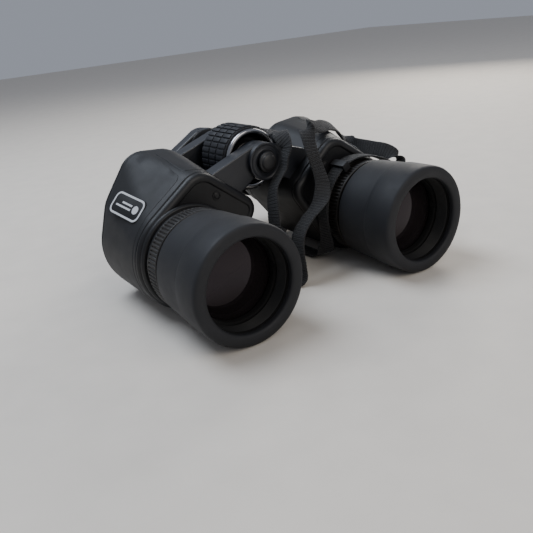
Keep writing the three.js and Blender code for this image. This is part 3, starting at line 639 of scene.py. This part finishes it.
def add_prism_body(name, side, body):
    front, rear = 66.3, 115.0
    levels = [(front, 0.6), (front + 0.15, 0.25), (front + 0.5, 0.05), (front + 1.0, 0.0)]
    levels += [(s, 0.0) for s in np.linspace(front + 1.5, rear - 1.5, 24)]
    levels += [(rear - 0.9, 0.0), (rear - 0.45, 0.06), (rear - 0.15, 0.25), (rear, 0.6)]
    shell = loft([(s, section(s, shrink)) for s, shrink in levels])
    inset = panel(("top", 54.2), ("top", 31.0), 71.0, 108.0, 4.0, 0.22)
    shape = merge(mirror(shell, side), mirror(inset, side))
    piece(f"{name}_housing", shape, "housing", body, slot="housing")
    lug = hinge_lug(side, FRONT_LUG)
    piece(f"{name}_front_lug", lug, "arm", body, f"{name}_prism_body", slot="housing")
    skin = panel(("side", 6.0), ("top", 57.0), 69.6, 112.3, 3.0, 0.2)
    piece(f"{name}_covering", mirror(skin, side), "covering", body, f"{name}_side_skin", slot="covering")


def add_front_cover(name, side, body):
    arc = np.linspace(0, math.pi / 2, 9)
    levels = [(62.75, 5.6), (62.7, 5.2), (62.15, 4.7), (62.0, 4.3), (62.0, 3.5)]
    levels += [(62.0 + 3.5 * (1 - math.cos(a)), 3.5 * (1 - math.sin(a))) for a in arc[1:]]
    levels += [(65.75, 0.12), (66.0, 0.5)]
    cover = loft([(s, outline(SEAM, shrink)) for s, shrink in levels])
    screw = turned([(0, 62.2), (1.2, 62.2), (1.9, 62.45), (1.9, 63.2), (0, 63.2)], (40, 62), 0.15, 32)
    pit = turned([(2.0, 62.9), (2.0, 62.3), (2.6, 62.3), (2.8, 62.9)], (40, 62), 0.1, 40)
    collar = turned([(26.2, 60), (29.6, 60), (30.6, 61.2), (30.6, 63), (26.2, 63)], OBJECTIVE, 0.4, 128)
    shape = merge(*(mirror(part, side) for part in (cover, pit, collar, screw)))
    piece(f"{name}_front_plate", shape, "cover", body, f"{name}_front_cover", slot="cover")


def add_rear_cover(name, side, body):
    arc = np.linspace(0.12, math.pi / 2, 12)
    levels = [(115.3, 0.7), (115.4, 0.35), (115.7, 0.14)]
    levels += [(115.8 + 5.2 * math.sin(a), 6.2 * (1 - math.cos(a))) for a in arc]
    cover = loft([(s, outline(REAR, shrink)) for s, shrink in levels])
    boss = turned([(17.3, 117), (19.4, 117), (19.4, 123.5, 1.0), (17.3, 123.5)], EYEPIECE, 0.3, 96)
    screws = []
    for x, z in ((82, 24), (47, 12), (66, 72), (84, 52)):
        screws.append(turned([(0, 120.9), (2.4, 120.9), (2.4, 121.5), (1.6, 122.1), (0, 122.2)], (x, z),
                             0.25, 28))
        screws.append(box_shape((3.2, 0.3, 0.5), (x, 122.2, z), 0.08))
    shape = merge(mirror(cover, side), mirror(boss, side), *(mirror(s, side) for s in screws))
    piece(f"{name}_rear_plate", shape, "cover", body, slot="cover")
    front, rear, reach = REAR_LUG["front"] - 2, REAR_LUG["rear"] + 2, GUIDE_RADIUS + GAP
    guide_hole = revolve([(0, front), (reach, front), (reach, rear), (0, rear)],
                         (side * EYEPIECE[0], EYEPIECE[1]), 96)
    lug = hinge_lug(side, REAR_LUG, [guide_hole])
    piece(f"{name}_rear_lug", lug, "arm", body, f"{name}_rear_cover", slot="cover")
    guide = turned([(14.7, 115.6), (GUIDE_RADIUS, 115.6), (GUIDE_RADIUS, 131, 0.5), (14.7, 131, 0.3)],
                   EYEPIECE, 0.3, 96)
    rings = [turned([(16.8, s), (17.25, s + 0.2), (17.25, s + 0.8), (16.8, s + 1.0)], EYEPIECE, 0.1,
                    96) for s in (124.5, 127)]
    piece(f"{name}_guide_tube", merge(*(mirror(p, side) for p in (guide, *rings))), "cover", body,
          f"{name}_eyepiece_guide", slot="cover")


BADGE = {"s": 89.0, "x": 82.9, "z": 61.6, "tilt": 46.0, "pitch": 10.6, "length": 29.6, "width": 14.4,
         "corner": 4.5,
         "thick": 1.6}


def rounded_rectangle(width, length, corner):
    points = []
    for cx, cy, start in ((1, -1, -90), (1, 1, 0), (-1, 1, 90), (-1, -1, 180)):
        for angle in np.radians(np.linspace(start, start + 90, 7)):
            points.append((cx * (width / 2 - corner) + corner * math.cos(angle),
                           cy * (length / 2 - corner) + corner * math.sin(angle)))
    return np.array(points)


def badge_frame(flat, side):
    """Points on the badge's own plane (across, along, up) as x, s, z."""
    pitch, tilt = math.radians(BADGE["pitch"]), math.radians(BADGE["tilt"])
    across, along, up = np.array(flat, float).T
    along, up = along * math.cos(pitch) - up * math.sin(pitch), along * math.sin(pitch) + up * math.cos(pitch)
    x = across * math.cos(tilt) + up * math.sin(tilt)
    z = -across * math.sin(tilt) + up * math.cos(tilt)
    points = np.column_stack([x + BADGE["x"], along + BADGE["s"], z + BADGE["z"]])
    points[:, 0] *= side
    return points


def plate(outer, levels, inner=None):
    """A flat plate, or a flat ring between two outlines, as (grow, height) levels."""
    def ring(base, grow, height):
        reach = np.linalg.norm(base, axis=1)[:, None]
        return np.column_stack([base * (1 + grow / reach), np.full(len(base), height)])

    count = len(outer)
    rows = [ring(outer, grow, height) for grow, height in levels]
    if inner is not None:
        rows += [ring(inner, -grow, height) for grow, height in reversed(levels)]
    faces = []
    closed = inner is not None
    for i in range(len(rows) - (0 if closed else 1)):
        a, b = i * count, ((i + 1) % len(rows)) * count
        faces += [(a + k, a + (k + 1) % count, b + (k + 1) % count, b + k) for k in range(count)]
    if not closed:
        faces += [tuple(range(count)), tuple((len(rows) - 1) * count + k for k in reversed(range(count)))]
    return np.vstack(rows), faces


def add_badge(name, side, body):
    half = BADGE["thick"] / 2
    width, length, corner = BADGE["width"], BADGE["length"], BADGE["corner"]
    base = plate(rounded_rectangle(width, length, corner),
                 [(0, -half), (0, half - 0.3), (-0.15, half - 0.08), (-0.4, half)])
    base = (badge_frame(base[0], side), base[1])
    piece(f"{name}_badge_plate", base, "badge_black", body, f"{name}_badge", slot="badge")
    ink = [(0, half - 0.1), (0, half + 0.1)]
    margin, band = 0.5, 1.15
    border = plate(rounded_rectangle(width - 2 * margin, length - 2 * margin, corner - margin), ink,
                   rounded_rectangle(width - 2 * (margin + band), length - 2 * (margin + band),
                                     corner - margin - band))
    disc_radius, disc_along = 2.5, -8.3
    rim = [(disc_radius * math.cos(a), disc_radius * math.sin(a) + disc_along) for a in np.linspace(0,
        2 * math.pi, 25)[:-1]]
    shapes = [border, plate(np.array(rim), ink)]
    bar = 0.55
    for across, start, stop in ((1.2, -4.2, 10.2), (-1.3, -4.2, 5.6)):
        corners = np.array([(across - bar, start), (across + bar, start), (across + bar, stop),
                            (across - bar, stop)])
        points = np.vstack([np.column_stack([corners, np.full(4, height)]) for _, height in ink])
        shapes.append((points, [(0, 1, 2, 3), (4, 5, 6, 7), (0, 1, 5, 4), (1, 2, 6, 5), (2, 3, 7, 6),
                                (3, 0, 4, 7)]))
    shapes = [(badge_frame(points, side), faces) for points, faces in shapes]
    piece(f"{name}_badge_print", merge(*shapes), "print", body, slot="badge")


# ---------------------------------------------------------------- objectives


def add_objective(name, side, body):
    centre = (side * OBJECTIVE[0], OBJECTIVE[1])
    sleeve = [(24.9, 3.9), (24.8, 1.7), (25.2, 0.75), (26.2, 0.3), (27.4, 0.08), (28.5, 0.0), (29.8, 0.12),
              (30.9, 0.45),
              (31.5, 1.0), (31.85, 1.8), (32.0, 3.2), (32.0, 10), (31.95, 18.9), (31.75, 19.3),
              (31.5, 19.55), (31.38, 20.4),
              (31.1, 27), (30.75, 35), (30.35, 42.6), (30.2, 43.4), (29.8, 43.9), (29.3, 44.0), (26.6, 44),
              (26.6, 3.9)]
    piece(f"{name}_sleeve", revolve(sleeve, centre, 160), "sleeve", body, f"{name}_rubber_sleeve",
          slot="sleeve_rubber", angle=50)
    ribs = 84
    pattern = (0.0, 0.0, -0.25, -0.75, -0.75, -0.25)

    def rib(k, r, s):
        return pattern[k % 6] if r > 29.0 and 46.9 < s < 55.1 else 0.0

    ring = [(26.6, 46), (28.9, 46), (29.4, 46.3), (29.5, 46.8), (29.5, 47.2), (29.6, 47.6), (29.6, 54.4),
            (29.5, 54.8),
            (29.5, 55.2), (29.4, 55.7), (28.9, 56), (26.6, 56)]
    piece(f"{name}_ribbed_ring", revolve(ring, centre, ribs * 6, rib), "ribbed", body,
          f"{name}_knurled_ring",
          slot="ribbed_ring", angle=40)
    barrel = [(24.5, 4.3), (26.3, 4.3), (26.3, 56.6), (27.6, 56.7), (28.2, 57.3), (28.35, 59.4),
              (28.2, 61.6), (25.6, 61.7),
              (25.6, 66), (23.4, 66), (23.4, 26), (24.2, 25)]
    for station in np.arange(24.0, 19.5, -0.75):
        barrel += [(24.25, station), (24.5, station - 0.4)]
    barrel.append((24.5, 13.6))
    for station in np.arange(13.0, 5.2, -0.9):
        barrel += [(24.0, station), (24.45, station - 0.5)]
    piece(f"{name}_barrel", revolve(barrel, centre, 144), "inner", body, f"{name}_objective_barrel",
          slot="inner")
    collar = [(27.6, 56.65), (28.3, 57.2), (28.5, 58.2), (28.5, 60.6), (28.3, 61.5), (27.6, 61.8)]
    piece(f"{name}_barrel_collar", revolve(collar, centre, 144), "gloss", body, slot="cover")
    lens = [(0, 16.4), (5, 16.5), (10, 16.8), (14, 17.2), (18, 17.75), (21, 18.3), (24.1, 19), (24.1, 22.5),
            (12, 24.1), (0, 24.6)]
    piece(f"{name}_front_lens", revolve(lens, centre, 128), "objective", body, f"{name}_objective_lens",
          slot="coated_glass", angle=40)
    keeper = [(22.7, 17.6), (22.6, 14.6), (22.9, 14.0), (24.2, 14.0), (24.2, 17.6)]
    notch = 16

    def slot_cut(k, r, s):
        return 0.9 if r < 23.0 and k % (notch * 6) in (0, 1, 2) and s < 16 else 0.0

    piece(f"{name}_lens_keeper", revolve(keeper, centre, notch * 12, slot_cut), "inner", body,
          f"{name}_lens_retainer",
          slot="inner")


# ---------------------------------------------------------------- eyepieces and bridge


def add_eyepiece(name, side, ocular, cell, cup):
    centre = (side * EYEPIECE[0], EYEPIECE[1])
    hub = (138.0, 143.7) if side == RIGHT else (144.0, 150.0)
    room = (hub[1], 152.0) if side == RIGHT else (136.0, hub[0])
    arm = slab([(side * 4, 77.5, 8), (centre[0], centre[1], 18)], 139, 148, 0.9, 180)
    clear = revolve([(0, room[0]), (14.4, room[0]), (14.4, room[1]), (0, room[1])], HINGE, 96)
    axis = revolve([(0, 130), (12.5, 130), (12.5, 160), (0, 160)], HINGE, 96)
    bore = revolve([(0, 130), (14.6, 130), (14.6, 160), (0, 160)], centre, 96)
    ring = turned([(3.2, hub[0]), (14.0, hub[0], 0.8), (14.0, hub[1], 0.8), (3.2, hub[1])], HINGE, 0.3, 96)
    shape = merge(carve(arm, [clear, axis, bore]), ring)
    piece(f"{name}_bridge", shape, "arm", ocular, f"{name}_bridge_arm", slot="cover")
    tube = turned([(12.6, 125.3), (14.3, 125.3), (14.3, 148.3), (17.4, 148.3, 0.5), (17.4, 150.2, 0.5),
                   (12.6, 150.2)], centre, 0.2, 96)
    piece(f"{name}_drawtube", tube, "anodised", ocular, f"{name}_eyepiece_tube", slot="tube_metal")
    tail = [(16.5, 158.6), (16.5, 171, 0.6), (15.7, 171.8, 0.3), (11.3, 171.8), (11.3, 165), (12, 164)]
    if side == RIGHT:
        profile = [(12, 151.8), (15.4, 151.8), (15.4, 158.9), (16.5, 158.9)] + tail[1:]
    else:
        profile = [(12, 150.5), (18.2, 150.5, 0.6), (18.6, 154, 1.0), (18.2, 157.6, 0.6),
                   (16.5, 158.4)] + tail[1:]
    piece(f"{name}_ocular_housing", turned(profile, centre, 0.2, 96), "cover", cell, f"{name}_ocular_body",
          slot="cover")
    lens = [(0, 165.6), (6, 165.8), (11, 166.4), (11, 169.2), (8, 169.9), (4, 170.4), (0, 170.6)]
    piece(f"{name}_ocular_lens", revolve(lens, centre, 72), "eye_glass", cell, f"{name}_eye_lens",
          slot="coated_glass", angle=40)
    cuff = [(16.9, 166), (19.2, 166, 0.4), (19.3, 167.5), (19.15, 168.1), (19.3, 168.7), (19.45, 170.2),
            (19.3, 170.8),
            (19.5, 171.4), (19.8, 174.8), (20, 176.6, 0.8), (19.3, 178, 0.9), (17.6, 178, 0.6),
            (16.9, 177.2, 0.4)]
    piece(f"{name}_rubber_eyecup", turned(cuff, centre, 0.3, 96), "eyecup", cup, f"{name}_eyecup",
          slot="eyecup_rubber", angle=50)


def add_dioptre_ring():
    centre = (-EYEPIECE[0], EYEPIECE[1])
    pattern = (0.0, 0.0, -0.2, -0.5, -0.5, -0.2)

    def rib(k, r, s):
        return pattern[k % 6] if r > 18.5 and 153.4 < s < 156.6 else 0.0

    profile = [(15.8, 152.2), (18.3, 152.2), (18.75, 152.5), (18.95, 153.0), (19, 153.5), (19, 153.9),
               (19, 156.1), (19, 156.5),
               (18.95, 157.2), (18.7, 158.1), (18.3, 158.5), (15.8, 158.5)]
    piece("dioptre_dial", revolve(profile, centre, 60 * 6, rib), "tread", "dioptre_ring", "dioptre_ring",
          slot="tread_rubber", angle=40)
    marks = []
    for step in range(-3, 4):
        angle = math.radians(90 + step * 9)
        radius = 18.98
        size = (0.35, 1.5 if step == 0 else 0.9, 0.25)
        mark = box_shape(size, (0, 0, 0), 0.05)
        turn = angle - math.pi / 2
        points = mark[0]
        x = points[:, 0] * math.cos(turn) - points[:,
                                                   2] * math.sin(turn) + centre[0] + radius * math.cos(angle)
        z = points[:, 0] * math.sin(turn) + points[:,
                                                   2] * math.cos(turn) + centre[1] + radius * math.sin(angle)
        marks.append((np.column_stack([x, points[:, 1] + 157.35, z]), mark[1]))
    piece("dioptre_marks", merge(*marks), "print", "dioptre_ring", slot="badge")


# ---------------------------------------------------------------- hinge and focus wheel


def tread_pads():
    rows, columns = 34, ((87.0, 94.9), (95.9, 103.2), (104.2, 112.1))
    pitch = 2 * math.pi / rows
    shapes = []
    for row in range(rows):
        for front, rear in columns:
            middle = row * pitch
            points, faces = [], []
            stack = [(0.37, 0.0, 18.9), (0.37, 0.0, 19.75), (0.345, 0.12, 19.93), (0.30, 0.3, 20.0)]
            for share, inset, radius in stack:
                for t, s in [(-1, front + inset), (-0.33, front + inset), (0.33, front + inset),
                             (1, front + inset),
                             (1, rear - inset), (0.33, rear - inset), (-0.33, rear - inset),
                             (-1, rear - inset)]:
                    angle = middle + t * share * pitch
                    points.append((HINGE[0] + radius * math.cos(angle), s,
                                   HINGE[1] + radius * math.sin(angle)))
            for level in range(len(stack) - 1):
                for k in range(8):
                    n = (k + 1) % 8
                    a, b = level * 8, (level + 1) * 8
                    faces.append((a + k, a + n, b + n, b + k))
            top = (len(stack) - 1) * 8
            faces += [(top, top + 1, top + 6, top + 7), (top + 1, top + 2, top + 5, top + 6),
                      (top + 2, top + 3, top + 4, top + 5),
                      (7, 6, 1, 0), (6, 5, 2, 1), (5, 4, 3, 2)]
            shapes.append((np.array(points), faces))
    return merge(*shapes)


def add_focus_wheel():
    band = [(17.3, 86.2), (18.9, 86.2), (19.15, 86.5), (19.15, 112.5), (18.9, 112.8), (17.3, 112.8)]
    piece("focus_tread", merge(revolve(band, HINGE, 136), tread_pads()), "tread", "focus_wheel",
          "focus_wheel_tread",
          slot="tread_rubber", angle=28)
    trim = [(15.2, 84.4), (15.4, 83.9), (15.9, 83.55), (16.6, 83.4), (17.4, 83.45), (17.95, 83.8),
            (18.2, 84.4), (18.2, 85.7), (15.2, 85.7)]
    piece("focus_trim", revolve(trim, HINGE, 144), "chrome", "focus_wheel", "focus_wheel_trim",
          slot="chrome", angle=50)
    core = [(4.9, 89.0), (7.0, 89.0, 0.3), (7.6, 88.2, 0.3), (8.6, 88.2, 0.3), (9.2, 89.4, 0.3),
            (13.2, 89.4, 0.5), (14.3, 87.2),
            (15.0, 86.0), (17.0, 86.0), (17.0, 113.0, 0.5), (12.0, 113.0, 0.4), (11.4, 112.2), (9.4, 112.2),
            (8.5, 113.2), (8.0, 118.4, 0.4),
            (4.9, 118.4)]
    hub = turned(core, HINGE, 0.2, 120)
    piece("focus_core", hub, "gloss", "focus_wheel", "focus_wheel_core", slot="cover")
    axle = [(3.3, 77.3), (4.5, 77.3), (4.5, 130.3), (8, 130.3, 0.3), (8, 131.6, 0.4), (3.3, 131.6)]
    piece("hinge_tube", turned(axle, HINGE, 0.15, 64), "steel", "right_half", "hinge_axle", slot="steel")
    spindle = [(0, 110), (2.9, 110), (2.9, 150.3), (6.5, 150.3, 0.3), (6.5, 152, 0.5), (5.6, 153, 0.4),
               (2.0, 153), (1.6, 152.5), (0, 152.4)]
    piece("focus_screw", turned(spindle, HINGE, 0.15, 64), "steel", "right_ocular", "focus_spindle",
          slot="steel")


THREAD_PITCH = 1.27


def add_tripod_cap():
    head = [(0, 64.6), (1.6, 64.65), (3.2, 64.95), (4.3, 65.4), (4.75, 65.75), (4.85, 66.2), (5.3, 66.45),
            (5.9, 66.6),
            (6.2, 66.95), (6.2, 67.9), (6.0, 68.1), (0, 68.1)]
    pattern = (0.0, 0.0, -0.12, -0.12)

    def grip(k, r, s):
        return pattern[k % 4] if r > 5.8 and 66.7 < s < 68.0 else 0.0

    piece("tripod_cap_head", revolve(head, HINGE, 36 * 4, grip), "cap", "cap", "tripod_cap", slot="cap",
          angle=40)
    profile = [(0, 68.4), (2.2, 68.4)]
    station = 68.7
    while station < 75.3:
        profile += [(2.35, station), (2.8, station + 0.4), (2.8, station + 0.55), (2.35, station + 0.95)]
        station += THREAD_PITCH
    profile += [(2.2, 76.0), (0, 76.0)]
    piece("tripod_cap_thread", revolve(profile, HINGE, 48), "cap", "cap_stud", "tripod_cap_stud",
          slot="cover")
    socket = [(4.5, 69.3), (4.5, 77.0), (3.1, 77.0)]
    station = 76.6
    while station > 70.2:
        socket += [(3.1, station), (3.4, station - 0.5)]
        station -= THREAD_PITCH
    socket += [(3.1, 69.8), (3.5, 69.3)]
    piece("socket_insert", revolve(socket, HINGE, 48), "brass", "right_half", "tripod_socket", slot="brass")


def add_strap_fittings():
    for name, side in SIDES.items():
        x, z, s = side * 74, 24, 124.7
        sides = [box_shape((2.6, 6.8, 3.2), (x - 7.1, s, z), 0.7), box_shape((2.6, 6.8, 3.2),
            (x + 7.1, s, z), 0.7),
                 box_shape((16.6, 2.2, 3.2), (x, s + 2.3, z), 0.8), box_shape((17.2, 1.2, 5.0),
                     (x, s - 3.6, z), 0.4)]
        piece(f"{name}_strap_loop", merge(*sides), "cover", f"{name}_half", f"{name}_strap_lug",
              slot="cover")
    lean = math.radians(29)
    bars = [box_shape((5.0, 0.85, 5.2), (0, 5.78, 0), 0.25), box_shape((5.0, 0.85, 5.2), (0, -5.78, 0),
        0.25),
            box_shape((5.0, 12.4, 0.8), (0, 0, 2.2), 0.25), box_shape((5.0, 12.4, 0.8), (0, 0, -2.2), 0.25)]
    points, faces = merge(*bars)
    x = points[:, 0] * math.cos(lean) - points[:, 2] * math.sin(lean) + 46
    z = points[:, 0] * math.sin(lean) + points[:, 2] * math.cos(lean) + 61.2
    piece("strap_keeper", (np.column_stack([x, points[:, 1] + 55.6, z]), faces), "cap", "left_half",
          "strap_slider", slot="cover")


def dress_inner_nodes():
    """The pieces inside the housings keep their CAD shape and get their own finish."""
    for name in SIDES:
        show(f"{name}_rear_prism", "eye_glass")
        show(f"{name}_front_prism", "eye_glass")
        show(f"{name}_prism_shelf", "inner")


def show(node, finish):
    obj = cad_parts[node]
    obj.data.materials.clear()
    obj.data.materials.append(M[finish])


# ---------------------------------------------------------------- stage


def add_stage():
    mesh = bpy.data.meshes.new("floor")
    reach, level = 3.0, -0.0003
    mesh.from_pydata([(-reach, -reach, level), (reach, -reach, level), (reach, reach, level),
                      (-reach, reach, level)],
                     [], [(0, 1, 2, 3)])
    floor = bpy.data.objects.new("floor", mesh)
    bpy.context.collection.objects.link(floor)
    mesh.materials.append(surface("floor", (0.70, 0.65, 0.58), 0.7, grain=300, depth=0.0001, vary=0.03))
    world = bpy.data.worlds.new("studio")
    world.use_nodes = True
    world.node_tree.nodes["Background"].inputs["Color"].default_value = (0.80, 0.86, 1.0, 1)
    world.node_tree.nodes["Background"].inputs["Strength"].default_value = 0.36
    bpy.context.scene.world = world
    for name, spot, aim, size, power, colour in (
            ("key", (-0.30, 0.35, 1.05), (0, 0, 0.04), 0.7, 11, (0.80, 0.88, 1.0)),
            ("front", (0.15, -1.1, 0.8), (0, -0.05, 0.03), 0.9, 7, (1.0, 0.93, 0.84)),
            ("rim", (0.9, 0.5, 0.5), (0.03, 0, 0.05), 0.5, 5, (1.0, 0.96, 0.9))):
        light = bpy.data.lights.new(name, "AREA")
        light.shape = "DISK"
        light.size = size
        light.energy = power
        light.color = colour
        lamp = bpy.data.objects.new(name, light)
        lamp.location = spot
        lamp.rotation_euler = (Vector(aim) - Vector(spot)).to_track_quat("-Z", "Y").to_euler()
        bpy.context.collection.objects.link(lamp)


# ---------------------------------------------------------------- build

add_camera()
add_strap()
for half_name, half_side in SIDES.items():
    half_body = f"{half_name}_half"
    add_prism_body(half_name, half_side, half_body)
    add_front_cover(half_name, half_side, half_body)
    add_rear_cover(half_name, half_side, half_body)
    add_badge(half_name, half_side, half_body)
    add_objective(half_name, half_side, half_body)
    cell_body = "dioptre_cell" if half_side == RIGHT else "left_ocular"
    add_eyepiece(half_name, half_side, f"{half_name}_ocular", cell_body, f"{half_name}_eyecup")
add_dioptre_ring()
add_focus_wheel()
add_tripod_cap()
add_strap_fittings()
dress_inner_nodes()
add_stage()
